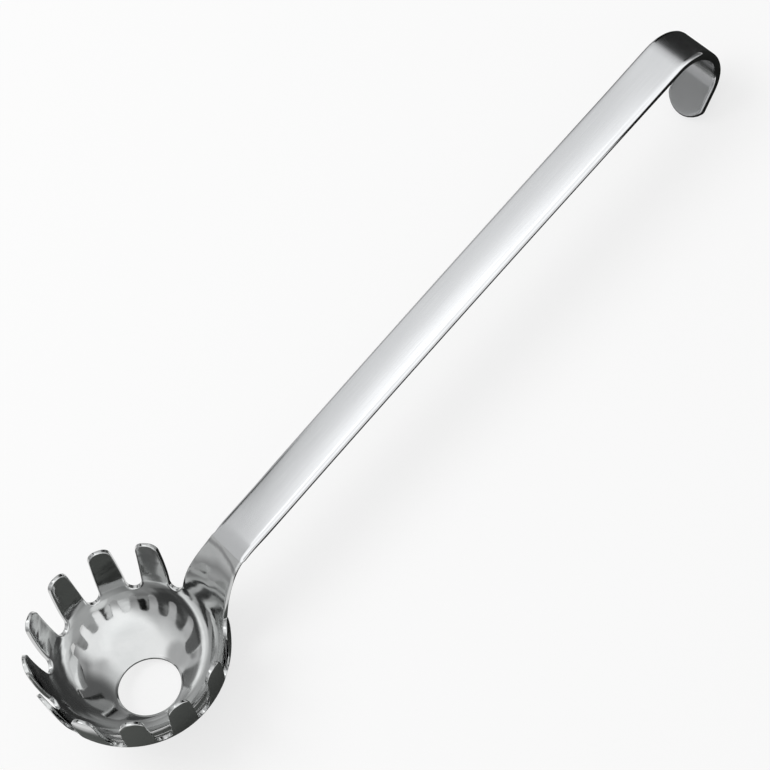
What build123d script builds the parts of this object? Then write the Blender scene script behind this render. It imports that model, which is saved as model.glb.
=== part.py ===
from build123d import *
import os
from math import cos, pi, radians, sin

# A toothed pasta server of stainless steel, lying on a table with its bowl open to the top.
# Lengths are in millimetres and angles in degrees.
# Each piece is drawn with the bowl upright: its axis is Z, its drain hole is at the origin and
# the handle leaves towards +X. The finished pieces are then tipped together until they lie.

# Scoop: the sheet and the line that its inner face follows from the drain hole up to the tips
sheet_thickness = 1.5
drain_hole_radius = 11.25
drain_edge_angle = 15.5
bowl_curve_radius = 30.0
shoulder_angle = 79.0
upper_curve_radius = 90.0
tip_angle = 88.0

# Scoop: the tines and the gaps between them
tine_count = 11
tine_pitch_angle = 27.9
gap_floor_drop = 1.55
gap_floor_radius = 2.8
gap_side_angle = 5.6
tip_round_share = 0.97

# Scoop: the neck that rises out of the wall and bends over towards the handle
neck_foot_angle = 68.0
neck_foot_width = 23.4
neck_rise = 6.7
neck_bend_radius = 30.0
seam_angle = 32.0
neck_sections = 7

# Weld across the neck
weld_length = 1.2
weld_crown = 0.3

# Handle: the strap's section, its grip and its hook
strap_width = 16.6
strap_thickness = 3.0
strap_end_thickness = 2.3
strap_taper_length = 12.0
face_round = 1.3
back_round = 0.8
grip_angle = 18.3
grip_length = 217.3
grip_bow_radius = 5260.0
hook_radius = 14.9
hook_angle = 147.5
tail_length = 14.1
tail_crown = 5.0
tail_corner_round = 3.0

# Making values
overrun = 10.0
floor_match = 0.0005
facing_match_angle = 1.0
quarter_angle = 90.0


def heading(slope):
    """direction in the side view of a line that climbs at this slope"""
    return Vector(cos(radians(slope)), sin(radians(slope)))


def square_to(slope):
    """direction square to that line, towards the inner or upper face"""
    return Vector(-sin(radians(slope)), cos(radians(slope)))


def side_view(place):
    """a side view place as a place in space, on the plane of symmetry"""
    return Vector(place.X, 0, place.Y)


bowl_centre = Vector(drain_hole_radius, 0) + square_to(drain_edge_angle) * bowl_curve_radius
upper_centre = bowl_centre + square_to(shoulder_angle) * (upper_curve_radius - bowl_curve_radius)
inner_tip = upper_centre - square_to(tip_angle) * upper_curve_radius
neck_foot = bowl_centre - square_to(neck_foot_angle) * bowl_curve_radius
neck_length = neck_rise + neck_bend_radius * radians(neck_foot_angle - seam_angle)

# The gaps' floors lie a little below the neck's foot, and the tips are as round as their width allows
gap_round_height = neck_foot.Y - gap_floor_drop + gap_floor_radius
gap_spread = gap_floor_radius + (inner_tip.Y - gap_round_height) * sin(radians(gap_side_angle))
tip_half_width = inner_tip.X * radians(tine_pitch_angle) / 2 - gap_spread / cos(radians(gap_side_angle))
tip_round = tip_half_width * tip_round_share


def neck_station(distance):
    """place and slope on the neck's upper face, this far along it from the foot"""
    if distance <= neck_rise:
        return neck_foot + heading(neck_foot_angle) * distance, neck_foot_angle
    slope = neck_foot_angle - (distance - neck_rise) / neck_bend_radius * 180 / pi
    bend_start = neck_foot + heading(neck_foot_angle) * neck_rise
    bend_centre = bend_start - square_to(neck_foot_angle) * neck_bend_radius
    return bend_centre + square_to(slope) * neck_bend_radius, slope


def cross_plane(place, slope):
    """plane across the sheet: its x runs across the neck and its y to the upper face"""
    return Plane(origin=side_view(place), x_dir=(0, 1, 0), z_dir=side_view(heading(slope)))


# Scoop

def bowl_shell():
    """the whole wall of revolution, from the drain hole up to the tips"""
    lower_start = drain_edge_angle - quarter_angle
    lower_size = shoulder_angle - drain_edge_angle
    upper_start = shoulder_angle - quarter_angle
    upper_size = tip_angle - shoulder_angle
    inner = Curve() + CenterArc(bowl_centre, bowl_curve_radius, lower_start, lower_size)
    inner += CenterArc(upper_centre, upper_curve_radius, upper_start, upper_size)
    outer_bowl_radius = bowl_curve_radius + sheet_thickness
    outer_upper_radius = upper_curve_radius + sheet_thickness
    outer = Curve() + CenterArc(bowl_centre, outer_bowl_radius, lower_start, lower_size)
    outer += CenterArc(upper_centre, outer_upper_radius, upper_start, upper_size)
    hole_edge = Line(
        Vector(drain_hole_radius, 0),
        Vector(drain_hole_radius, 0) - square_to(drain_edge_angle) * sheet_thickness,
    )
    tip_edge = Line(inner_tip, inner_tip - square_to(tip_angle) * sheet_thickness)
    section = make_face(inner + outer + hole_edge + tip_edge)
    shell = revolve(Plane.XZ * section, axis=Axis.Z)
    return Rot(0, 0, 180 + tine_pitch_angle / 2) * shell


def gap_cutter():
    """a slot with a round floor that widens upwards, cut through the wall on the +X side"""
    mouth_height = inner_tip.Y + overrun
    widening = (mouth_height - gap_round_height) * sin(radians(gap_side_angle))
    mouth_radius = gap_floor_radius + widening
    floor_round = Pos(0, gap_round_height) * Circle(gap_floor_radius)
    mouth_round = Pos(0, mouth_height) * Circle(mouth_radius)
    slot = make_hull(floor_round.edges() + mouth_round.edges())
    outward = Plane(origin=(drain_hole_radius, 0, 0), x_dir=(0, 1, 0), z_dir=(1, 0, 0))
    return extrude(outward * slot, inner_tip.X + overrun)


def neck_clearing(end_gap_angle):
    """the space above the neck's foot, between the two end gaps"""
    reach = inner_tip.X + overrun
    far = reach * sin(radians(end_gap_angle))
    near = reach * cos(radians(end_gap_angle))
    wedge = extrude(make_face(Polyline((0, 0), (near, -far), (near, far), close=True)), reach)
    foot_plane = cross_plane(neck_foot, neck_foot_angle)
    return split(wedge, bisect_by=foot_plane, keep=Keep.TOP)


def neck_section(share):
    """the neck's cross-section at a share of its length: dished at the foot, flat at the seam"""
    place, slope = neck_station(neck_length * share)
    widening = (1 + cos(pi * share)) / 2
    half_width = strap_width / 2 + (neck_foot_width - strap_width) / 2 * widening
    foot_dish = neck_foot.X / sin(radians(neck_foot_angle))
    if share == 1:
        outline = Rectangle(half_width * 2, sheet_thickness, align=(Align.CENTER, Align.MAX))
        return cross_plane(place, slope) * outline.face()
    dish_radius = foot_dish / (1 - share ** 2)
    half_angle = half_width / dish_radius * 180 / pi
    upper = CenterArc((0, dish_radius), dish_radius, -quarter_angle - half_angle, half_angle * 2)
    under_radius = dish_radius + sheet_thickness
    under = CenterArc((0, dish_radius), under_radius, -quarter_angle - half_angle, half_angle * 2)
    ends = [Line(upper @ 0, under @ 0), Line(upper @ 1, under @ 1)]
    return cross_plane(place, slope) * make_face([upper, under] + ends)


def make_scoop():
    end_gap_angle = 180 - tine_pitch_angle * tine_count / 2
    gap = gap_cutter()
    gaps = [Rot(0, 0, end_gap_angle + tine_pitch_angle * turn) * gap for turn in range(tine_count + 1)]
    shell = bowl_shell() - gaps - neck_clearing(end_gap_angle)
    tip_corners = [
        edge for edge in shell.edges()
        if edge.bounding_box().min.Z > inner_tip.Y - sheet_thickness / 2
        and edge.length < sheet_thickness * 2
    ]
    shell = fillet(tip_corners, tip_round)
    foot_plane = cross_plane(neck_foot, neck_foot_angle)
    foot_faces = [
        face for face in shell.faces()
        if face.is_planar and abs(foot_plane.to_local_coords(face.center()).Z) < floor_match
        and abs(face.normal_at().dot(foot_plane.z_dir)) > cos(radians(facing_match_angle))
    ]
    foot = max(foot_faces, key=lambda face: face.area)
    sections = [foot] + [neck_section((step + 1) / neck_sections) for step in range(neck_sections)]
    return shell + loft(sections)


# Handle

handle_start, handle_start_slope = neck_station(neck_length + weld_length)
grip_turn = grip_length / grip_bow_radius * 180 / pi
tail_slope = grip_angle - grip_turn - hook_angle


def face_chain(depth):
    """the strap's side view line at this depth under its face, from the weld to the tail's end"""
    start = handle_start - square_to(handle_start_slope) * depth
    bend_turn = handle_start_slope - grip_angle
    bend = JernArc(start, heading(handle_start_slope), neck_bend_radius - depth, -bend_turn)
    grip = JernArc(bend @ 1, heading(grip_angle), grip_bow_radius - depth, -grip_turn)
    hook = JernArc(grip @ 1, heading(grip_angle - grip_turn), hook_radius - depth, -hook_angle)
    tail = Line(hook @ 1, hook @ 1 + heading(tail_slope) * tail_length)
    return [bend, grip, hook, tail]


def back_chain():
    """the strap's side view line along its back, which closes in on the face at the weld"""
    bend, grip, hook, tail = face_chain(strap_thickness)
    taper_share = (strap_taper_length - bend.length) / grip.length
    taper_slope = grip_angle - grip_turn * taper_share
    rest_turn = grip_turn * (1 - taper_share)
    start = handle_start - square_to(handle_start_slope) * strap_end_thickness
    taper = Line(start, grip @ taper_share)
    rest = JernArc(taper @ 1, heading(taper_slope), grip_bow_radius - strap_thickness, -rest_turn)
    return [taper, rest, hook, tail]


def strap_blank():
    """the bent strap with square edges, thinner at the weld"""
    face = face_chain(0)
    back = back_chain()
    ends = [Line(handle_start, back[0] @ 0), Line(face[3] @ 1, back[3] @ 1)]
    return extrude(Plane.XZ * make_face(face + back + ends), strap_width / 2, both=True)


def tail_trim():
    """what is cut off the square end to leave a crowned one"""
    apex = face_chain(0)[3] @ 1
    crown_radius = ((strap_width / 2) ** 2 + tail_crown ** 2) / (tail_crown * 2)
    square_end = Pos(0, overrun - tail_crown) * Rectangle(strap_width + overrun, overrun * 2)
    crowned = square_end - Pos(0, -crown_radius) * Circle(crown_radius)
    along = side_view(heading(tail_slope))
    outward = side_view(square_to(tail_slope))
    tail_plane = Plane(origin=side_view(apex), x_dir=along.cross(outward), z_dir=outward)
    return extrude(tail_plane * crowned, overrun, both=True)


def edges_along(solid, lines):
    """the edges that run along the strap or round its tail and lie on these side view lines"""
    found = []
    for edge in solid.edges():
        middle = edge @ (1 / 2)
        on_line = min(Vertex(middle.X, middle.Z).distance_to(line) for line in lines) < floor_match
        if on_line and abs(middle.Y) > strap_width / 4:
            found.append(edge)
    return found


def make_handle():
    strap = strap_blank() - tail_trim()
    tail_corners = [
        edge for edge in strap.edges()
        if abs((edge % 0).dot(side_view(square_to(tail_slope)))) > cos(radians(facing_match_angle))
        and abs(edge.length - strap_thickness) < floor_match
    ]
    strap = fillet(tail_corners, tail_corner_round)
    strap = fillet(edges_along(strap, face_chain(0)), face_round)
    return fillet(edges_along(strap, back_chain()), back_round)


# Weld

def make_weld():
    """the bead between neck and handle: ground flush on the face, slightly crowned underneath"""
    neck_end, neck_end_slope = neck_station(neck_length)
    under_neck = neck_end - square_to(neck_end_slope) * sheet_thickness
    under_handle = handle_start - square_to(handle_start_slope) * strap_end_thickness
    between = (under_neck + under_handle) / 2
    crown = between - square_to(handle_start_slope) * weld_crown
    face_turn = handle_start_slope - seam_angle
    face = JernArc(neck_end, heading(neck_end_slope), neck_bend_radius, face_turn)
    under = ThreePointArc(under_neck, crown, under_handle)
    outline = [face, Line(neck_end, under_neck), under, Line(face @ 1, under_handle)]
    return extrude(Plane.XZ * make_face(outline), strap_width / 2, both=True)


# Assembly

def lowest(piece, tilt):
    """height of a piece's lowest place when it is tipped by this angle"""
    return (Rot(0, tilt, 0) * piece).bounding_box().min.Z


def resting_tilt(scoop, handle):
    """the tilt at which the bowl and the tail of the hook touch the table together"""
    reach = handle.bounding_box().max.X
    tilt = grip_angle
    drop = lowest(handle, tilt) - lowest(scoop, tilt)
    while abs(drop) > floor_match:
        tilt += drop / reach * 180 / pi
        drop = lowest(handle, tilt) - lowest(scoop, tilt)
    return tilt


def make_pieces():
    """every piece, lying on the table: origin under the middle, handle towards +X"""
    pieces = {"scoop": make_scoop(), "neck_weld": make_weld(), "hook_handle": make_handle()}
    tilt = resting_tilt(pieces["scoop"], pieces["hook_handle"])
    lying = {name: Rot(0, tilt, 0) * piece for name, piece in pieces.items()}
    bounds = Compound(list(lying.values())).bounding_box()
    middle = bounds.center()
    return {name: Pos(-middle.X, 0, -bounds.min.Z) * piece for name, piece in lying.items()}


if __name__ == "__main__":
    os.makedirs("parts", exist_ok=True)
    for name, piece in make_pieces().items():
        export_step(piece, f"parts/{name}.step")
        size = piece.bounding_box().size
        print(f"{name}: {size.X:.1f} x {size.Y:.1f} x {size.Z:.1f}, volume {piece.volume:.0f}")
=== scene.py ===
import bpy
import bmesh
from math import acos, asin, atan2, cos, degrees, pi, radians, sin, sqrt
from mathutils import Euler, Matrix, Vector


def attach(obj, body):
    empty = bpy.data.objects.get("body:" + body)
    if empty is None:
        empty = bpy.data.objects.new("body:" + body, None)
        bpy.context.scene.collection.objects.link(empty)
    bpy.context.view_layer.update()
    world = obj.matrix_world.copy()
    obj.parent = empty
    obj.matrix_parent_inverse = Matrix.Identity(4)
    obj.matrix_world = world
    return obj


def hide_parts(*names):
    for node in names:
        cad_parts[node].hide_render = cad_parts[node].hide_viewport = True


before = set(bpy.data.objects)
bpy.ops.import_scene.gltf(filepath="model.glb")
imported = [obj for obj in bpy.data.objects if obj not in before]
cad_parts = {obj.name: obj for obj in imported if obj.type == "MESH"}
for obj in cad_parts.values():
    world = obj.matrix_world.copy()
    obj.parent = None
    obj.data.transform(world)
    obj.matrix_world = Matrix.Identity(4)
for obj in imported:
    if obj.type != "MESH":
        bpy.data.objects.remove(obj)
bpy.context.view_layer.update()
print("frame loaded")

# Shapes are worked out in millimetres with the bowl upright, drain hole at the origin and handle
# towards +X, and tipped into place at the end as the CAD pieces are.
restPlan = {
    "tilt": 15.8928,                          # degrees nose down
    "shift": (-0.1333415, 0.0, 0.0045815),    # metres
}


def restMatrix():
    place = Matrix.Translation(restPlan["shift"])
    return place @ Matrix.Rotation(radians(restPlan["tilt"]), 4, "Y") @ Matrix.Scale(0.001, 4)


def heading(slope):    # side view direction of a line that climbs at this slope
    return Vector((cos(radians(slope)), 0, sin(radians(slope))))


def squareTo(slope):    # side view direction square to it, on the inner or upper side
    return Vector((-sin(radians(slope)), 0, cos(radians(slope))))


def easeShare(share):
    share = min(max(share, 0), 1)
    return share * share * (3 - 2 * share)


# How a sheet's edge is rounded: quarter turn from the front face, then quarter turn to the back
def edgeSteps(count):
    front = [("front", 90 * step / count) for step in range(count + 1)]
    back = [("back", 90 - 90 * step / count) for step in range(count + 1)]
    return front + back


sharpTurn = 50        # degrees between two faces past which their edge is sharp
mergeGap = 0.004      # vertices closer than this are one, in millimetres
flatGap = 0.002


# A piece of bent sheet: flat grids are laid on its front face, its edges are extruded round to
# the back, and the back is a second copy of the grids. placeVertex gives each vertex its place.
def sheetPiece(name, grids, placeVertex, steps, uvPlace=None):
    mesh = bmesh.new()
    layers = {key: mesh.verts.layers.float.new(key) for key in ("across", "along", "zone")}

    def gridPlace(vertex):
        return [vertex[layers[key]] for key in ("zone", "across", "along")]

    def kindOf(parts, kind):
        return [part for part in parts if isinstance(part, kind)]

    for zone, columns, rows in grids:
        grid = bmesh.ops.create_grid(mesh, x_segments=columns, y_segments=rows, size=1)
        for vertex in grid["verts"]:
            vertex[layers["across"]] = vertex.co.x
            vertex[layers["along"]] = round((vertex.co.y + 1) / 2 * rows)
            vertex[layers["zone"]] = zone

    def setPlaces(vertices, step):
        for vertex in vertices:
            vertex.co = placeVertex(*gridPlace(vertex), *step)

    setPlaces(mesh.verts, steps[0])
    bmesh.ops.remove_doubles(mesh, verts=mesh.verts, dist=mergeGap)
    front = list(mesh.faces)
    rim = [edge for edge in mesh.edges if edge.is_boundary]
    backCopy = bmesh.ops.duplicate(mesh, geom=list(mesh.verts) + list(mesh.edges) + front)["geom"]
    setPlaces(kindOf(backCopy, bmesh.types.BMVert), steps[-1])
    bmesh.ops.reverse_faces(mesh, faces=kindOf(backCopy, bmesh.types.BMFace))
    for step in steps[1:]:
        grown = bmesh.ops.extrude_edge_only(mesh, edges=rim)["geom"]
        setPlaces(kindOf(grown, bmesh.types.BMVert), step)
        rim = [edge for edge in kindOf(grown, bmesh.types.BMEdge) if edge.is_boundary]
    bmesh.ops.remove_doubles(mesh, verts=mesh.verts, dist=mergeGap)
    bmesh.ops.dissolve_degenerate(mesh, edges=mesh.edges, dist=flatGap)
    bmesh.ops.recalc_face_normals(mesh, faces=mesh.faces)
    if uvPlace:
        flatMap = mesh.loops.layers.uv.new("flatSheet")
        for face in mesh.faces:
            for loop in face.loops:
                loop[flatMap].uv = uvPlace(*gridPlace(loop.vert))
    openEdges = len([edge for edge in mesh.edges if not edge.is_manifold])
    bmesh.ops.transform(mesh, matrix=restMatrix(), verts=mesh.verts)
    for face in mesh.faces:
        face.smooth = True
    for edge in mesh.edges:
        edge.smooth = edge.calc_face_angle(0) < radians(sharpTurn)
    data = bpy.data.meshes.new(name)
    mesh.to_mesh(data)
    mesh.free()
    piece = bpy.data.objects.new(name, data)
    bpy.context.scene.collection.objects.link(piece)
    piece.modifiers.new("even_shading", "WEIGHTED_NORMAL").keep_sharp = True
    print(name, len(data.polygons), "faces,", openEdges, "open edges")
    return piece


# Scoop

scoopPlan = {
    "sheet": 1.5,
    "holeRadius": 11.25,
    "holeSlope": 15.5,
    "bowlRadius": 30.0,
    "shoulderSlope": 79.0,
    "upperRadius": 90.0,
    "tipSlope": 88.0,
    "tines": 11,
    "pitch": 27.9,
    "gapFloorDrop": 1.55,
    "gapFloorRadius": 2.8,
    "gapLean": 5.6,
    "tipRoundShare": 0.97,
    "edgeRound": 0.24,
    "footSlope": 68.0,
    "footWidth": 23.4,
    "neckRise": 6.7,
    "neckBend": 30.0,
    "seamSlope": 32.0,
    "seamWidth": 16.6,
    "seamEdgeRound": 0.6,
    "seamEdgeReach": 9.0,
    "gapTurnAtFoot": 78.0,
    "edgeCount": 2,
    "columns": 14,
    "neckColumns": 30,
    "bowlRows": 30,
    "roundRows": 9,
    "sideRows": 9,
    "tipRows": 8,
    "neckRows": 34,
}

plan = scoopPlan
bowlCentre = Vector((plan["holeRadius"], 0, 0)) + squareTo(plan["holeSlope"]) * plan["bowlRadius"]
upperCentre = bowlCentre + squareTo(plan["shoulderSlope"]) * (plan["upperRadius"] - plan["bowlRadius"])
tipPlace = upperCentre - squareTo(plan["tipSlope"]) * plan["upperRadius"]
neckFoot = bowlCentre - squareTo(plan["footSlope"]) * plan["bowlRadius"]
gapRoundHeight = neckFoot.z - plan["gapFloorDrop"] + plan["gapFloorRadius"]
leanTurn = radians(plan["gapLean"])
gapAtTip = (plan["gapFloorRadius"] + (tipPlace.z - gapRoundHeight) * sin(leanTurn)) / cos(leanTurn)
tipRound = (tipPlace.x * radians(plan["pitch"]) / 2 - gapAtTip) * plan["tipRoundShare"]
tipRoundHeight = tipPlace.z - tipRound
tipRoundGap = gapAtTip + tipRound * (1 - sin(leanTurn)) / cos(leanTurn)
endGapTurn = 180 - plan["pitch"] * plan["tines"] / 2
neckLength = plan["neckRise"] + plan["neckBend"] * radians(plan["footSlope"] - plan["seamSlope"])


def wallPlace(slope, depth):    # radius and height on the wall where it has this slope
    lower = slope <= plan["shoulderSlope"]
    centre = bowlCentre if lower else upperCentre
    radius = (plan["bowlRadius"] if lower else plan["upperRadius"]) + depth
    return centre - squareTo(slope) * radius


def slopeAtHeight(height, depth):
    shoulder = wallPlace(plan["shoulderSlope"], depth).z
    centre = bowlCentre if height <= shoulder else upperCentre
    radius = (plan["bowlRadius"] if height <= shoulder else plan["upperRadius"]) + depth
    return degrees(acos(min(max((centre.z - height) / radius, -1), 1)))


def neckStation(distance):    # place and slope on the neck's upper face, this far from its foot
    if distance <= 0:
        slope = plan["footSlope"] + degrees(distance / plan["bowlRadius"])
        return bowlCentre - squareTo(slope) * plan["bowlRadius"], slope
    if distance <= plan["neckRise"]:
        return neckFoot + heading(plan["footSlope"]) * distance, plan["footSlope"]
    slope = plan["footSlope"] - degrees((distance - plan["neckRise"]) / plan["neckBend"])
    bendStart = neckFoot + heading(plan["footSlope"]) * plan["neckRise"]
    return bendStart + (squareTo(slope) - squareTo(plan["footSlope"])) * plan["neckBend"], slope


straightCurve = 0.000001    # a curve below this counts as straight, per millimetre


def neckPlace(distance, lateral, depth, lateralIsTrue=False):
    place, slope = neckStation(distance)
    share = min(max(distance / neckLength, 0), 1)
    curve = (1 - share * share) * sin(radians(plan["footSlope"])) / neckFoot.x
    if distance < 0:
        curve = sin(radians(slope)) / place.x
    if lateralIsTrue:
        turn = asin(lateral * curve / (1 + depth * curve))
    else:
        turn = lateral * curve
    if abs(curve) < straightCurve:
        side, rise = lateral, 0
    else:
        side, rise = sin(turn) / curve, (1 - cos(turn)) / curve
    outward = squareTo(slope)
    return place + outward * (rise - depth * cos(turn)) + Vector((0, side + depth * sin(turn), 0))


def neckHalfWidth(distance):
    share = min(max(distance / neckLength, 0), 1)
    spread = (1 + cos(pi * share)) / 2
    return (plan["seamWidth"] + (plan["footWidth"] - plan["seamWidth"]) * spread) / 2


# Slope on the wall and half width of the gap for one row of a tine, counted from the drain hole
def tineRow(along, inset, depth):
    roundRadius = plan["gapFloorRadius"] + inset
    floorHeight = gapRoundHeight - roundRadius
    tangentTurn = radians(90 - plan["gapLean"])
    if along <= plan["bowlRows"]:
        share = along / plan["bowlRows"]
        start = plan["holeSlope"] + degrees(inset / (plan["bowlRadius"] + depth))
        return start + (slopeAtHeight(floorHeight, depth) - start) * share, 0
    along -= plan["bowlRows"]
    if along <= plan["roundRows"]:
        turn = tangentTurn * along / plan["roundRows"]
        return slopeAtHeight(gapRoundHeight - roundRadius * cos(turn), depth), roundRadius * sin(turn)
    along -= plan["roundRows"]
    sideStart = gapRoundHeight - roundRadius * sin(leanTurn)
    startGap = roundRadius * cos(leanTurn)
    tipRadius = tipRound - inset
    sideEnd = tipRoundHeight + tipRadius * sin(leanTurn)
    if along <= plan["sideRows"]:
        height = sideStart + (sideEnd - sideStart) * along / plan["sideRows"]
        widening = (height - sideStart) * sin(leanTurn) / cos(leanTurn)
        return slopeAtHeight(height, depth), startGap + widening
    along -= plan["sideRows"]
    turn = leanTurn + (pi / 2 - leanTurn) * along / plan["tipRows"]
    height = tipRoundHeight + tipRadius * sin(turn)
    return slopeAtHeight(height, depth), tipRoundGap - tipRadius * cos(turn)


def roundedStep(side, turn, edgeRound, thickness):    # inset and depth of one edge step
    inset = edgeRound * (1 - sin(radians(turn)))
    depth = edgeRound * (1 - cos(radians(turn)))
    return inset, depth if side == "front" else thickness - depth


def scoopVertex(zone, across, along, side, turn):
    inset, depth = roundedStep(side, turn, plan["edgeRound"], plan["sheet"])
    footRow = plan["bowlRows"] + plan["roundRows"]
    if zone < plan["tines"]:
        slope, gap = tineRow(along, inset, depth)
        place = wallPlace(slope, depth)
        halfTurn = radians(plan["pitch"] / 2) - asin(gap / place.x)
        turnAbout = radians(180 + (zone - (plan["tines"] - 1) / 2) * plan["pitch"]) + across * halfTurn
        return Vector((place.x * cos(turnAbout), place.x * sin(turnAbout), place.z))
    if along <= plan["bowlRows"]:
        slope, gap = tineRow(along, inset, depth)
        place = wallPlace(slope, depth)
        turnAbout = across * radians(endGapTurn)
        return Vector((place.x * cos(turnAbout), place.x * sin(turnAbout), place.z))
    if along < footRow:
        share = (along - plan["bowlRows"]) / plan["roundRows"]
        roundRadius = plan["gapFloorRadius"] + inset
        gapTurn = radians(plan["gapTurnAtFoot"]) * share
        floorSlope = slopeAtHeight(gapRoundHeight - roundRadius, 0)
        place = wallPlace(slopeAtHeight(gapRoundHeight - roundRadius * cos(gapTurn), depth), depth)
        halfTurn = radians(endGapTurn) - asin(roundRadius * sin(gapTurn) / place.x)
        turnAbout = across * halfTurn
        onWall = Vector((place.x * cos(turnAbout), place.x * sin(turnAbout), place.z))
        footStart = radians(floorSlope - plan["footSlope"]) * plan["bowlRadius"]
        onNeck = neckPlace(footStart * (1 - share), onWall.y, depth, True)
        return onWall.lerp(onNeck, easeShare(share))
    distance = neckLength * (along - footRow) / plan["neckRows"]
    nearSeam = easeShare(1 - (neckLength - distance) / plan["seamEdgeReach"])
    edgeRound = plan["edgeRound"] + (plan["seamEdgeRound"] - plan["edgeRound"]) * nearSeam
    inset, depth = roundedStep(side, turn, edgeRound, plan["sheet"])
    return neckPlace(distance, across * (neckHalfWidth(distance) - inset), depth)


tineRows = plan["bowlRows"] + plan["roundRows"] + plan["sideRows"] + plan["tipRows"]
scoopGrids = [(zone, plan["columns"], tineRows) for zone in range(plan["tines"])]
neckRows = plan["bowlRows"] + plan["roundRows"] + plan["neckRows"]
scoopGrids.append((plan["tines"], plan["neckColumns"], neckRows))
scoop = sheetPiece("polished_scoop", scoopGrids, scoopVertex, edgeSteps(plan["edgeCount"]))
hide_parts("scoop")
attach(scoop, "root")
print("scoop made")


# Handle: a flat blank with a crowned end, bent along its length

strapPlan = {
    "width": 16.6,
    "thickness": 3.0,
    "endThickness": 2.3,
    "taperLength": 12.0,
    "faceRound": 1.3,
    "backRound": 0.8,
    "faceCrown": 0.36,
    "crownRise": 25.0,
    "neckBend": 30.0,
    "gripSlope": 18.3,
    "gripLength": 217.3,
    "gripBow": 5260.0,
    "hookRadius": 14.9,
    "hookTurn": 147.5,
    "tailLength": 14.1,
    "tailCrown": 5.0,
    "tailCornerRound": 3.0,
    "tailPatch": 5.0,
    "weldLength": 1.2,
    "edgeCount": 4,
    "columns": 16,
    "bendRows": 6,
    "gripRows": 44,
    "hookRows": 44,
    "tailRows": 3,
    "patchRows": 5,
}

strap = strapPlan
strapStart, strapStartSlope = neckStation(neckLength + strap["weldLength"])
bendLength = radians(strapStartSlope - strap["gripSlope"]) * strap["neckBend"]
gripTurn = degrees(strap["gripLength"] / strap["gripBow"])
hookLength = radians(strap["hookTurn"]) * strap["hookRadius"]
strapRuns = [    # length and turn of each run of the strap's face
    (bendLength, strapStartSlope - strap["gripSlope"]),
    (strap["gripLength"], gripTurn),
    (hookLength, strap["hookTurn"]),
    (strap["tailLength"], 0),
]
strapLength = sum(length for length, turn in strapRuns)
hookStart = bendLength + strap["gripLength"]
crownRadius = ((strap["width"] / 2) ** 2 + strap["tailCrown"] ** 2) / (2 * strap["tailCrown"])
crownCentre = strapLength - crownRadius
cornerSide = strap["width"] / 2 - strap["tailCornerRound"]
cornerAlong = crownCentre + sqrt((crownRadius - strap["tailCornerRound"]) ** 2 - cornerSide ** 2)
cornerTurn = atan2(cornerSide, cornerAlong - crownCentre)


def strapFace(distance):    # place and slope on the strap's face line
    place, slope = strapStart.copy(), strapStartSlope
    for length, turn in strapRuns:
        step = min(distance, length)
        if turn == 0:
            place = place + heading(slope) * step
        else:
            radius = length / radians(turn)
            newSlope = slope - turn * step / length
            place = place + (squareTo(newSlope) - squareTo(slope)) * radius
            slope = newSlope
        distance -= step
        if distance <= 0:
            break
    return place, slope


def strapFlat(along, across, inset):    # place on the flat blank: length and side
    halfWidth = strap["width"] / 2 - inset
    marks = [0]
    for rows, length in (
        (strap["bendRows"], bendLength),
        (strap["gripRows"], strap["gripLength"]),
        (strap["hookRows"], hookLength),
        (strap["tailRows"], cornerAlong - strap["tailPatch"] - (strapLength - strap["tailLength"])),
    ):
        if along <= rows:
            return marks[-1] + length * along / rows, across * halfWidth
        along -= rows
        marks.append(marks[-1] + length)
    share = along / strap["patchRows"]
    turn = across * pi / 2
    if abs(turn) > cornerTurn:
        centre = Vector((cornerAlong, cornerSide if turn > 0 else -cornerSide))
        radius = strap["tailCornerRound"]
    else:
        centre, radius = Vector((crownCentre, 0)), crownRadius
    endPlace = centre + Vector((cos(turn), sin(turn))) * (radius - inset)
    straightPlace = Vector((marks[-1], across * halfWidth))
    flat = straightPlace.lerp(endPlace, share)
    return flat.x, flat.y


def strapVertex(zone, across, along, side, turn):
    edgeRound = strap["faceRound"] if side == "front" else strap["backRound"]
    inset = edgeRound * (1 - sin(radians(turn)))
    depth = edgeRound * (1 - cos(radians(turn)))
    distance, lateral = strapFlat(along, across, inset)
    if side == "front":
        fromWeld = easeShare(distance / strap["crownRise"])
        fromHook = easeShare((hookStart - distance) / strap["crownRise"])
        depth += strap["faceCrown"] * fromWeld * fromHook * (lateral / strap["width"] * 2) ** 2
    else:
        thinness = max(0, 1 - distance / strap["taperLength"])
        depth = strap["thickness"] - (strap["thickness"] - strap["endThickness"]) * thinness - depth
    place, slope = strapFace(distance)
    return place - squareTo(slope) * depth + Vector((0, lateral, 0))


def strapUv(zone, across, along):
    distance, lateral = strapFlat(along, across, 0)
    return distance * 0.001, lateral * 0.001


strapRows = sum(strap[run + "Rows"] for run in ("bend", "grip", "hook", "tail", "patch"))
handle = sheetPiece("brushed_handle", [(0, strap["columns"], strapRows)], strapVertex,
                    edgeSteps(strap["edgeCount"]), strapUv)
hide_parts("hook_handle")
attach(handle, "root")
print("handle made")


# Weld: a short flush band whose section grows from the neck's to the strap's

weldPlan = {
    "edgeCount": 4,
    "rows": 3,
    "columns": 16,
}


def weldVertex(zone, across, along, side, turn):
    share = along / weldPlan["rows"]
    faceRound = plan["seamEdgeRound"] + (strap["faceRound"] - plan["seamEdgeRound"]) * share
    backRound = plan["seamEdgeRound"] + (strap["backRound"] - plan["seamEdgeRound"]) * share
    edgeRound = faceRound if side == "front" else backRound
    thickness = plan["sheet"] + (strap["endThickness"] - plan["sheet"]) * share
    inset, depth = roundedStep(side, turn, edgeRound, thickness)
    place, slope = neckStation(neckLength + strap["weldLength"] * share)
    return place - squareTo(slope) * depth + Vector((0, across * (strap["width"] / 2 - inset), 0))


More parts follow.
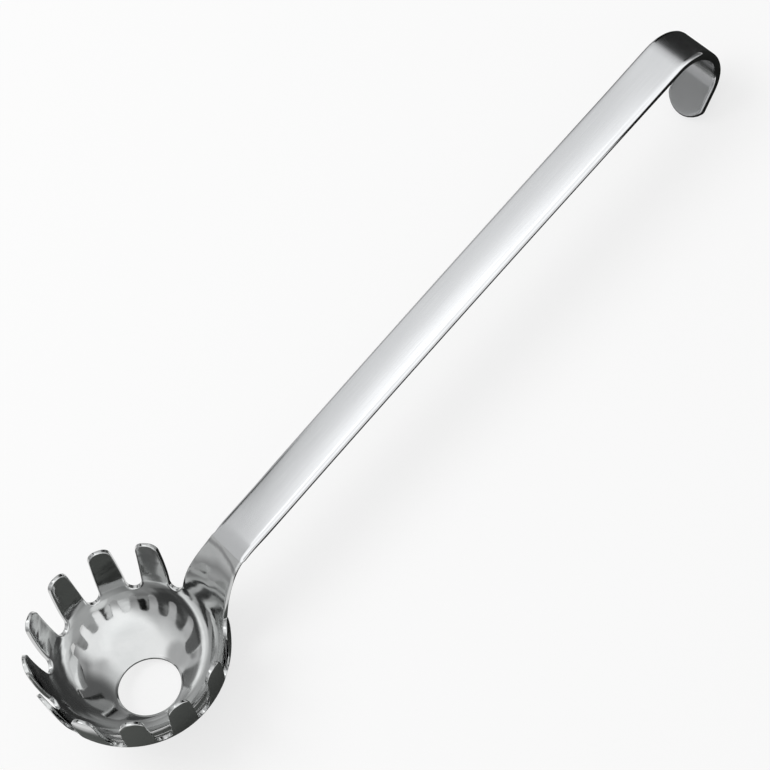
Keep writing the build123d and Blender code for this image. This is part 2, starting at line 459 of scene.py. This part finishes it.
def weldUv(zone, across, along):
    distance = (along / weldPlan["rows"] - 1) * strap["weldLength"]
    return distance * 0.001, across * strap["width"] / 2 * 0.001


weld = sheetPiece("ground_weld", [(0, weldPlan["columns"], weldPlan["rows"])], weldVertex,
                  edgeSteps(weldPlan["edgeCount"]), weldUv)
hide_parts("neck_weld")
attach(weld, "root")
print("weld made")


# Materials

def newMaterial(name):
    material = bpy.data.materials.new(name)
    material.use_nodes = True
    nodes = material.node_tree.nodes
    return material, nodes, material.node_tree.links, nodes["Principled BSDF"]


def newGroup(name, inputs, outputs):
    group = bpy.data.node_groups.new(name, "ShaderNodeTree")
    for label, kind, value in inputs:
        socket = group.interface.new_socket(label, in_out="INPUT", socket_type=kind)
        if value is not None:
            socket.default_value = value
    for label, kind in outputs:
        group.interface.new_socket(label, in_out="OUTPUT", socket_type=kind)
    nodes = group.nodes
    return group, nodes, group.links, nodes.new("NodeGroupInput"), nodes.new("NodeGroupOutput")


def mathNode(nodes, links, operation, *values):
    node = nodes.new("ShaderNodeMath")
    node.operation = operation
    for index, value in enumerate(values):
        if isinstance(value, (int, float)):
            node.inputs[index].default_value = value
        else:
            links.new(value, node.inputs[index])
    return node.outputs[0]


def rangeNode(nodes, links, value, low, high, newLow, newHigh, smooth=False):
    node = nodes.new("ShaderNodeMapRange")
    node.interpolation_type = "SMOOTHSTEP" if smooth else "LINEAR"
    links.new(value, node.inputs["Value"])
    ends = {"From Min": low, "From Max": high, "To Min": newLow, "To Max": newHigh}
    for label, number in ends.items():
        if isinstance(number, (int, float)):
            node.inputs[label].default_value = number
        else:
            links.new(number, node.inputs[label])
    return node.outputs["Result"]


def noiseNode(nodes, links, vector, detail, roughness, distortion=0.0):
    node = nodes.new("ShaderNodeTexNoise")
    links.new(vector, node.inputs["Vector"])
    node.inputs["Scale"].default_value = 1
    node.inputs["Detail"].default_value = detail
    node.inputs["Roughness"].default_value = roughness
    node.inputs["Distortion"].default_value = distortion
    return node.outputs["Fac"]


def scaleNode(nodes, links, vector, scale):
    node = nodes.new("ShaderNodeVectorMath")
    node.operation = "SCALE"
    links.new(vector, node.inputs[0])
    links.new(scale, node.inputs["Scale"])
    return node.outputs[0]


linesPlan = {
    "stretches": {"Fine": 1.0, "Broad": 7.0},    # how many times coarser each set of lines is
    "detail": 2.0,
    "roughness": 0.6,
}


# Lines left by a belt, long along the vector's X and fine along its Y
def brushedLinesGroup():
    group, nodes, links, entry, leave = newGroup(
        "brushed_lines",
        [("Vector", "NodeSocketVector", None), ("Line Width", "NodeSocketFloat", 0.0001),
         ("Line Length", "NodeSocketFloat", 0.02)],
        [("Fine", "NodeSocketFloat"), ("Broad", "NodeSocketFloat")],
    )
    parts = nodes.new("ShaderNodeSeparateXYZ")
    links.new(entry.outputs["Vector"], parts.inputs[0])
    for label, stretch in linesPlan["stretches"].items():
        alongLength = mathNode(nodes, links, "MULTIPLY", entry.outputs["Line Length"], stretch)
        acrossWidth = mathNode(nodes, links, "MULTIPLY", entry.outputs["Line Width"], stretch)
        along = mathNode(nodes, links, "DIVIDE", parts.outputs["X"], alongLength)
        across = mathNode(nodes, links, "DIVIDE", parts.outputs["Y"], acrossWidth)
        joined = nodes.new("ShaderNodeCombineXYZ")
        links.new(along, joined.inputs["X"])
        links.new(across, joined.inputs["Y"])
        links.new(parts.outputs["Z"], joined.inputs["Z"])
        lines = noiseNode(nodes, links, joined.outputs[0], linesPlan["detail"], linesPlan["roughness"])
        links.new(lines, leave.inputs[label])
    return group


# Per mark: what sets its size, times how often it repeats in that size, then the noise's detail,
# roughness and distortion
marksPlan = {
    "Waves": ("Wave Size", 1.0, 1.0, 0.5, 0.3),
    "Marks": ("Mark Size", 1.0, 4.0, 0.5, 1.2),
    "Haze": ("Wave Size", 0.6, 5.0, 0.65, 0.5),
}


# Uneven polish: slow waves of the sheet, soft cloudy haze and fine buffing marks
def polishMarksGroup():
    group, nodes, links, entry, leave = newGroup(
        "polish_marks",
        [("Vector", "NodeSocketVector", None), ("Wave Size", "NodeSocketFloat", 0.015),
         ("Mark Size", "NodeSocketFloat", 0.0008)],
        [("Waves", "NodeSocketFloat"), ("Haze", "NodeSocketFloat"), ("Marks", "NodeSocketFloat")],
    )
    for label, (size, times, detail, roughness, distortion) in marksPlan.items():
        scale = mathNode(nodes, links, "DIVIDE", times, entry.outputs[size])
        scaled = scaleNode(nodes, links, entry.outputs["Vector"], scale)
        marks = noiseNode(nodes, links, scaled, detail, roughness, distortion)
        links.new(marks, leave.inputs[label])
    return group


brushedLines = brushedLinesGroup()
polishMarks = polishMarksGroup()


def groupNode(nodes, links, group, vector, **values):
    node = nodes.new("ShaderNodeGroup")
    node.node_tree = group
    links.new(vector, node.inputs["Vector"])
    for label, value in values.items():
        node.inputs[label.replace("_", " ")].default_value = value
    return node


def mixColor(nodes, links, factor, first, second):
    node = nodes.new("ShaderNodeMix")
    node.data_type = "RGBA"
    links.new(factor, node.inputs["Factor"])
    for label, color in (("A", first), ("B", second)):
        if isinstance(color, tuple):
            node.inputs[label].default_value = color
        else:
            links.new(color, node.inputs[label])
    return node.outputs["Result"]


def bumpNode(nodes, links, height, distance, normal=None):
    node = nodes.new("ShaderNodeBump")
    node.inputs["Distance"].default_value = distance
    node.inputs["Strength"].default_value = 1
    links.new(height, node.inputs["Height"])
    if normal:
        links.new(normal, node.inputs["Normal"])
    return node.outputs[0]


polishPlan = {
    "pale": (0.61, 0.613, 0.61, 1),
    "deep": (0.545, 0.553, 0.55, 1),
    "hazeLow": 0.35,
    "hazeHigh": 0.75,
    "roughnessLow": 0.035,
    "roughnessHigh": 0.13,
    "waveSize": 0.011,
    "waveHeight": 0.00014,
    "waveSquash": 2.0,       # how much closer the waves are in height than round the wall
    "calmHeight": 0.012,     # metres above the table up to which the sheet is calm
    "wavyHeight": 0.024,
    "calmShare": 0.35,
    "markSize": 0.0006,
    "markHeight": 0.0000015,
    "satinLine": -0.0813,    # where the handle's satin runs out on the neck, in metres along X
    "satinSlant": 0.14,
    "satinCurve": 13.0,
    "satinSoftness": 0.0011,
    "satinWander": 0.0016,
    "creaseShade": (0.16, 0.16, 0.165, 1),    # painted shade: the dark line along the crease where the satin runs out
    "creaseShadeShare": 0.55,
    "satinRoughness": 0.27,
    "satinStep": 0.00012,
    "grainWidth": 0.00012,
    "grainLength": 0.012,
    "grainHeight": 0.000006,
}


def polishedSteel():
    polish = polishPlan
    material, nodes, links, shader = newMaterial("mirror_polished_steel")
    where = nodes.new("ShaderNodeTexCoord").outputs["Object"]
    sizes = {"Wave_Size": polish["waveSize"], "Mark_Size": polish["markSize"]}
    marks = groupNode(nodes, links, polishMarks, where, **sizes)
    grain = groupNode(nodes, links, brushedLines, where,
                      Line_Width=polish["grainWidth"], Line_Length=polish["grainLength"])
    parts = nodes.new("ShaderNodeSeparateXYZ")
    links.new(where, parts.inputs[0])

    # Where the handle's satin covers the neck: a slanted, bowed and wandering line
    slanted = mathNode(nodes, links, "MULTIPLY", parts.outputs["Y"], polish["satinSlant"])
    straight = mathNode(nodes, links, "SUBTRACT", parts.outputs["X"], slanted)
    wander = rangeNode(nodes, links, marks.outputs["Haze"], 0, 1,
                       -polish["satinWander"], polish["satinWander"])
    square = mathNode(nodes, links, "MULTIPLY", parts.outputs["Y"], parts.outputs["Y"])
    bowed = mathNode(nodes, links, "MULTIPLY", square, polish["satinCurve"])
    along = mathNode(nodes, links, "ADD", mathNode(nodes, links, "ADD", straight, wander), bowed)
    satin = rangeNode(nodes, links, along, polish["satinLine"] - polish["satinSoftness"],
                      polish["satinLine"] + polish["satinSoftness"], 0, 1, True)

    haze = rangeNode(nodes, links, marks.outputs["Haze"], polish["hazeLow"], polish["hazeHigh"],
                     0, 1, True)
    sheen = mixColor(nodes, links, haze, polish["pale"], polish["deep"])
    rest = mathNode(nodes, links, "SUBTRACT", 1, satin)
    halfway = mathNode(nodes, links, "MULTIPLY", satin, rest)    # a quarter in the middle of the line
    # Painted shade: the base colour darkens along the crease where the satin runs out
    creaseShading = mathNode(nodes, links, "MULTIPLY", halfway, 4 * polish["creaseShadeShare"])
    links.new(mixColor(nodes, links, creaseShading, sheen, polish["creaseShade"]), shader.inputs["Base Color"])
    mirror = rangeNode(nodes, links, haze, 0, 1, polish["roughnessLow"], polish["roughnessHigh"])
    dull = rangeNode(nodes, links, satin, 0, 1, mirror, polish["satinRoughness"])
    links.new(dull, shader.inputs["Roughness"])
    shader.inputs["Metallic"].default_value = 1

    # The bottom is smooth, the walls and tines are wavy
    rough = rangeNode(nodes, links, parts.outputs["Z"], polish["calmHeight"], polish["wavyHeight"],
                      polish["calmShare"], 1, True)
    squash = nodes.new("ShaderNodeVectorMath")
    squash.operation = "MULTIPLY"
    squash.inputs[1].default_value = (1, 1, polish["waveSquash"])
    links.new(where, squash.inputs[0])
    ripples = groupNode(nodes, links, polishMarks, squash.outputs[0], **sizes)
    waves = mathNode(nodes, links, "MULTIPLY", ripples.outputs["Waves"], rough)
    lines = mathNode(nodes, links, "MULTIPLY", grain.outputs["Fine"], satin)
    normal = bumpNode(nodes, links, waves, polish["waveHeight"])
    normal = bumpNode(nodes, links, marks.outputs["Marks"], polish["markHeight"], normal)
    normal = bumpNode(nodes, links, satin, polish["satinStep"], normal)
    normal = bumpNode(nodes, links, lines, polish["grainHeight"], normal)
    links.new(normal, shader.inputs["Normal"])
    return material


satinPlan = {
    "pale": (0.735, 0.739, 0.747, 1),
    "deep": (0.675, 0.679, 0.69, 1),
    "roughnessLow": 0.22,
    "roughnessHigh": 0.27,
    "anisotropic": 0.35,
    "grainWidth": 0.00013,
    "grainLength": 0.02,
    "grainHeight": 0.0000030,
    "fineShare": 0.75,
    "streakLow": 0.36,
    "streakHigh": 0.64,
    "hazeSize": 0.012,
    "markSize": 0.0006,
    "edgeStart": 0.0076,     # half widths between which the long edges turn smoother
    "edgeEnd": 0.0083,
    "edgeSmoothing": 0.55,
}


def satinSteel():
    material, nodes, links, shader = newMaterial("satin_brushed_steel")
    flat = nodes.new("ShaderNodeUVMap")
    flat.uv_map = "flatSheet"
    grain = groupNode(nodes, links, brushedLines, flat.outputs["UV"],
                      Line_Width=satinPlan["grainWidth"], Line_Length=satinPlan["grainLength"])
    marks = groupNode(nodes, links, polishMarks, nodes.new("ShaderNodeTexCoord").outputs["Object"],
                      Wave_Size=satinPlan["hazeSize"], Mark_Size=satinPlan["markSize"])

    fineShare = satinPlan["fineShare"]
    fine = mathNode(nodes, links, "MULTIPLY", grain.outputs["Fine"], fineShare)
    broad = mathNode(nodes, links, "MULTIPLY", grain.outputs["Broad"], (1 - fineShare) / 2)
    haze = mathNode(nodes, links, "MULTIPLY", marks.outputs["Haze"], (1 - fineShare) / 2)
    total = mathNode(nodes, links, "ADD", mathNode(nodes, links, "ADD", fine, broad), haze)
    streak = rangeNode(nodes, links, total, satinPlan["streakLow"], satinPlan["streakHigh"], 0, 1)
    sheen = mixColor(nodes, links, streak, satinPlan["pale"], satinPlan["deep"])
    links.new(sheen, shader.inputs["Base Color"])

    # The long edges are rubbed smoother than the face
    parts = nodes.new("ShaderNodeSeparateXYZ")
    links.new(flat.outputs["UV"], parts.inputs[0])
    side = mathNode(nodes, links, "ABSOLUTE", parts.outputs["Y"])
    edge = rangeNode(nodes, links, side, satinPlan["edgeStart"], satinPlan["edgeEnd"], 0, 1, True)
    worn = mathNode(nodes, links, "MULTIPLY", edge, satinPlan["edgeSmoothing"])
    left = mathNode(nodes, links, "SUBTRACT", 1, worn)
    dull = rangeNode(nodes, links, streak, 0, 1, satinPlan["roughnessLow"], satinPlan["roughnessHigh"])
    links.new(mathNode(nodes, links, "MULTIPLY", dull, left), shader.inputs["Roughness"])
    shader.inputs["Metallic"].default_value = 1
    shader.inputs["Anisotropic"].default_value = satinPlan["anisotropic"]
    tangent = nodes.new("ShaderNodeTangent")
    tangent.direction_type = "UV_MAP"
    tangent.uv_map = "flatSheet"
    links.new(tangent.outputs[0], shader.inputs["Tangent"])
    normal = bumpNode(nodes, links, grain.outputs["Fine"], satinPlan["grainHeight"])
    links.new(normal, shader.inputs["Normal"])
    return material


scoop.data.materials.append(polishedSteel())
satin = satinSteel()
handle.data.materials.append(satin)
weld.data.materials.append(satin)
print("materials made")


# Studio: a white table that the camera sees as plain white, a lamp overhead, and a tent and dark
# cards round the server that only its reflections show. The steel's tones come from these two.

stagePlan = {
    "floorHeight": -0.0005,
    "floorSize": 4.0,
    "floorColor": (0.9, 0.9, 0.9, 1),
    "dullness": 0.9,
    "floorLift": 0.72,
    "worldStrength": 0.6,
    "lampEnergy": 7.0,
    "lampSize": 0.9,
    "lampPlace": (-0.25, 0.55, 1.1),
    "tentRadius": 1.3,
    "tentFoot": -0.001,
    "tentSegments": (48, 24),
    # The tent's tone: rings as (height as a share of its radius, tone), and patches as (azimuth,
    # elevation, widths to the soft edge's end and start in degrees, tone)
    "firstRings": [
        (0, 0.35), (0.16, 0.5), (0.34, 0.35), (0.5, 0.65), (0.64, 0.65), (0.86, 1.0), (1, 1.35),
    ],
    "firstPatches": [
        (-84, 36, 38, 19, 1.45),
        (12, 16, 38, 19, 0.15),
        (-72, 26, 38, 19, 1.25),
        (132, 56, 18, 9, 0.6),
        (-96, 56, 38, 19, 1.45),
        (84, 66, 8, 4, 1.45),
        (132, 36, 8, 4, 0.35),
        (-84, 76, 38, 19, 1.25),
        (86, 53, 16, 8, 0.9),
        (84, 72, 14, 5, 1.9),
    ],
    # What reflections of reflections show, as inside the bowl
    "laterRings": [
        (0, 1.0), (0.16, 0.8), (0.34, 0.5), (0.5, 0.5), (0.64, 0.35), (0.86, 0.65), (1, 1.0),
    ],
    "laterPatches": [
        (-48, 46, 26, 13, 0.1),
        (72, 36, 38, 19, 1.4),
        (-132, 66, 18, 9, 1.6),
        (-12, 76, 26, 13, 0.5),
        (108, 66, 38, 19, 0.9),
        (-12, 26, 12, 6, 0.1),
        (-72, 36, 18, 9, 0.25),
        (-144, 26, 38, 19, 0.9),
        (48, 6, 26, 13, 1.9),
        (-24, 36, 12, 6, 0.1),
        (36, 46, 18, 9, 0.9),
        (-96, 26, 18, 9, 0.9),
        (-60, 76, 8, 4, 0.9),
        (-24, 56, 8, 4, 0.5),
        (-112, 67, 9, 4, 2.1),
        (-82, 54, 11, 6, 0.12),
        (80, 60, 12, 6, 1.7),
    ],
    "tentTint": (0.985, 0.995, 1.0),
    "cardTint": (1.0, 1.05, 1.0),
    "cardSoftness": 0.012,
    "cards": [    # name, middle, half width and half depth, turn in degrees, tone
        # Painted shadow: the cards under the bowl and under the handle are dark sheets lying where the
        # table's shadow falls, seen only in reflections
        ("card_under_bowl", (-0.1425, -0.025, -0.00020), (0.0525, 0.045), (0, 0, 0), 0.12),
        ("card_under_handle", (0.03, -0.01, -0.00030), (0.145, 0.036), (0, 0, 0), 0.03),
        ("card_beside_handle", (0.05, 0.06, -0.00035), (0.11, 0.045), (0, 0, 0), 0.14),
        ("card_over_handle", (-0.095, 0.21, 0.21), (0.055, 0.055), (0, 59, 143), 0.12),
        ("card_under_hook", (0.36, 0.20, -0.00025), (0.245, 0.40), (0, 0, 0), 0.02),
        ("card_behind_hook", (0.30, 0.18, 0.11), (0.11, 0.12), (0, 90, 0), 0.012),
    ],
}


def stageObject(name, mesh, material):
    data = bpy.data.meshes.new(name)
    mesh.to_mesh(data)
    mesh.free()
    data.materials.append(material)
    item = bpy.data.objects.new(name, data)
    bpy.context.scene.collection.objects.link(item)
    return item


def onlyReflected(item):    # seen in reflections, but not by the camera, and casts nothing
    item.visible_camera = False
    item.visible_diffuse = False
    item.visible_shadow = False
    item.visible_transmission = False
    item.visible_volume_scatter = False


def seenDirectly(nodes, links):    # 1 for camera, mirror and see-through rays
    path = nodes.new("ShaderNodeLightPath").outputs
    both = mathNode(nodes, links, "MAXIMUM", path["Is Camera Ray"], path["Is Glossy Ray"])
    return mathNode(nodes, links, "MAXIMUM", both, path["Is Transmission Ray"])


def dullMaterial(name, color):
    material, nodes, links, shader = newMaterial(name)
    shader.inputs["Base Color"].default_value = color
    shader.inputs["Roughness"].default_value = stagePlan["dullness"]
    shader.inputs["Specular IOR Level"].default_value = 0
    return material, nodes, links, shader


def mixShaders(nodes, links, factor, first, second):    # mixes two shaders into the material
    mixed = nodes.new("ShaderNodeMixShader")
    links.new(factor, mixed.inputs["Fac"])
    links.new(first.outputs[0], mixed.inputs[1])
    links.new(second.outputs[0], mixed.inputs[2])
    links.new(mixed.outputs[0], nodes["Material Output"].inputs["Surface"])


def whiteTable():    # lit like paper, lifted towards plain white where it is seen
    material, nodes, links, shader = dullMaterial("white_table", stagePlan["floorColor"])
    plain = nodes.new("ShaderNodeEmission")
    lift = mathNode(nodes, links, "MULTIPLY", seenDirectly(nodes, links), stagePlan["floorLift"])
    mixShaders(nodes, links, lift, shader, plain)
    return material


def makeFloor():
    mesh = bmesh.new()
    bmesh.ops.create_grid(mesh, x_segments=8, y_segments=8, size=stagePlan["floorSize"] / 2)
    bmesh.ops.translate(mesh, vec=(0, 0, stagePlan["floorHeight"]), verts=mesh.verts)
    return stageObject("studio_floor", mesh, whiteTable())


def tentTone(nodes, links, where, height, rings, patches):    # its colour, patches laid over rings
    def tinted(tone):
        return (*[tone * share for share in stagePlan["tentTint"]], 1)

    ramp = nodes.new("ShaderNodeValToRGB")
    for index, (share, ringTone) in enumerate(rings):
        stop = ramp.color_ramp.elements[index] if index < 2 else ramp.color_ramp.elements.new(share)
        stop.position = share
        stop.color = tinted(ringTone)
    links.new(height, ramp.inputs["Fac"])
    tone = ramp.outputs["Color"]
    for azimuth, elevation, endTurn, startTurn, patchTone in patches:
        turn = Euler((0, radians(-elevation), radians(azimuth))).to_matrix()
        direction = turn @ Vector((1, 0, 0))
        toward = nodes.new("ShaderNodeVectorMath")
        toward.operation = "DOT_PRODUCT"
        toward.inputs[1].default_value = direction / stagePlan["tentRadius"]
        links.new(where, toward.inputs[0])
        patch = rangeNode(nodes, links, toward.outputs["Value"], cos(radians(endTurn)),
                          cos(radians(startTurn)), 0, 1, True)
        tone = mixColor(nodes, links, patch, tone, tinted(patchTone))
    return tone


def makeTent():
    mesh = bmesh.new()
    around, upward = stagePlan["tentSegments"]
    bmesh.ops.create_uvsphere(mesh, u_segments=around, v_segments=upward, radius=stagePlan["tentRadius"])
    lower = [vertex for vertex in mesh.verts if vertex.co.z < stagePlan["tentFoot"]]
    bmesh.ops.delete(mesh, geom=lower, context="VERTS")
    material, nodes, links, shader = newMaterial("tent_cloth")
    nodes.remove(shader)
    where = nodes.new("ShaderNodeTexCoord").outputs["Object"]
    parts = nodes.new("ShaderNodeSeparateXYZ")
    links.new(where, parts.inputs[0])
    height = mathNode(nodes, links, "DIVIDE", parts.outputs["Z"], stagePlan["tentRadius"])
    first = tentTone(nodes, links, where, height, stagePlan["firstRings"], stagePlan["firstPatches"])
    later = tentTone(nodes, links, where, height, stagePlan["laterRings"], stagePlan["laterPatches"])
    bounces = nodes.new("ShaderNodeLightPath").outputs["Glossy Depth"]    # 1 for a first reflection
    isLater = mathNode(nodes, links, "GREATER_THAN", bounces, 1.5)
    light = nodes.new("ShaderNodeEmission")
    links.new(mixColor(nodes, links, isLater, first, later), light.inputs["Color"])
    links.new(light.outputs[0], nodes["Material Output"].inputs["Surface"])
    tent = stageObject("studio_tent", mesh, material)
    onlyReflected(tent)
    return tent


def makeCard(name, middle, halfSize, turn, tone):    # a dark card that only reflections show
    mesh = bmesh.new()
    mesh.loops.layers.uv.new("cardMap")
    bmesh.ops.create_grid(mesh, x_segments=4, y_segments=4, size=1, calc_uvs=True)
    bmesh.ops.scale(mesh, vec=(halfSize[0], halfSize[1], 1), verts=mesh.verts)
    turned = Euler([radians(angle) for angle in turn], "XYZ").to_matrix()
    bmesh.ops.rotate(mesh, matrix=turned, verts=mesh.verts)
    bmesh.ops.translate(mesh, vec=middle, verts=mesh.verts)
    tint = [tone * share for share in stagePlan["cardTint"]]
    material, nodes, links, shader = dullMaterial(name, (*tint, 1))
    card = stageObject(name, mesh, material)
    onlyReflected(card)

    # The card fades out towards its edges
    place = nodes.new("ShaderNodeUVMap")
    place.uv_map = "cardMap"
    parts = nodes.new("ShaderNodeSeparateXYZ")
    links.new(place.outputs["UV"], parts.inputs[0])
    shares = []
    for axis, half in zip("XY", halfSize):
        offset = mathNode(nodes, links, "SUBTRACT", parts.outputs[axis], 0.5)
        inside = mathNode(nodes, links, "SUBTRACT", 0.5, mathNode(nodes, links, "ABSOLUTE", offset))
        toEdge = mathNode(nodes, links, "MULTIPLY", inside, 2 * half)
        shares.append(rangeNode(nodes, links, toEdge, 0, stagePlan["cardSoftness"], 0, 1, True))
    solid = mathNode(nodes, links, "MULTIPLY", *shares)
    mixShaders(nodes, links, solid, nodes.new("ShaderNodeBsdfTransparent"), shader)
    return card


makeFloor()
makeTent()
for card in stagePlan["cards"]:
    makeCard(*card)

world = bpy.data.worlds.new("studio_world")
world.use_nodes = True
bpy.context.scene.world = world
worldNodes, worldLinks = world.node_tree.nodes, world.node_tree.links
backdrop = worldNodes["Background"]
backdrop.inputs["Color"].default_value = (1, 1, 1, 1)
brightness = worldNodes.new("ShaderNodeMapRange")
brightness.inputs["To Min"].default_value = stagePlan["worldStrength"]
brightness.inputs["To Max"].default_value = 1
worldLinks.new(seenDirectly(worldNodes, worldLinks), brightness.inputs["Value"])
worldLinks.new(brightness.outputs["Result"], backdrop.inputs["Strength"])

lampData = bpy.data.lights.new("overhead_softbox", "AREA")
lampData.energy = stagePlan["lampEnergy"]
lampData.shape = "SQUARE"
lampData.size = stagePlan["lampSize"]
lamp = bpy.data.objects.new("overhead_softbox", lampData)
lamp.location = stagePlan["lampPlace"]
lamp.rotation_euler = (-Vector(stagePlan["lampPlace"])).to_track_quat("-Z", "Y").to_euler()
lamp.visible_glossy = False    # the tent is what shows in reflections
bpy.context.scene.collection.objects.link(lamp)


# Camera, where the photo was taken from

cameraPlan = {
    "place": (-0.03580131, -0.52224008, 0.86333352),
    "turn": (24.04741522, 21.70156731, -43.43870693),    # degrees about X, Y and Z
    "lens": 134.503,
    "sensor": 36.0,
}

cameraData = bpy.data.cameras.new("photo_camera")
cameraData.lens = cameraPlan["lens"]
cameraData.sensor_width = cameraPlan["sensor"]
camera = bpy.data.objects.new("photo_camera", cameraData)
camera.location = cameraPlan["place"]
camera.rotation_euler = Euler([radians(angle) for angle in cameraPlan["turn"]], "XYZ")
bpy.context.scene.collection.objects.link(camera)
bpy.context.scene.camera = camera
bpy.context.scene.view_settings.view_transform = "Standard"
print("studio made")
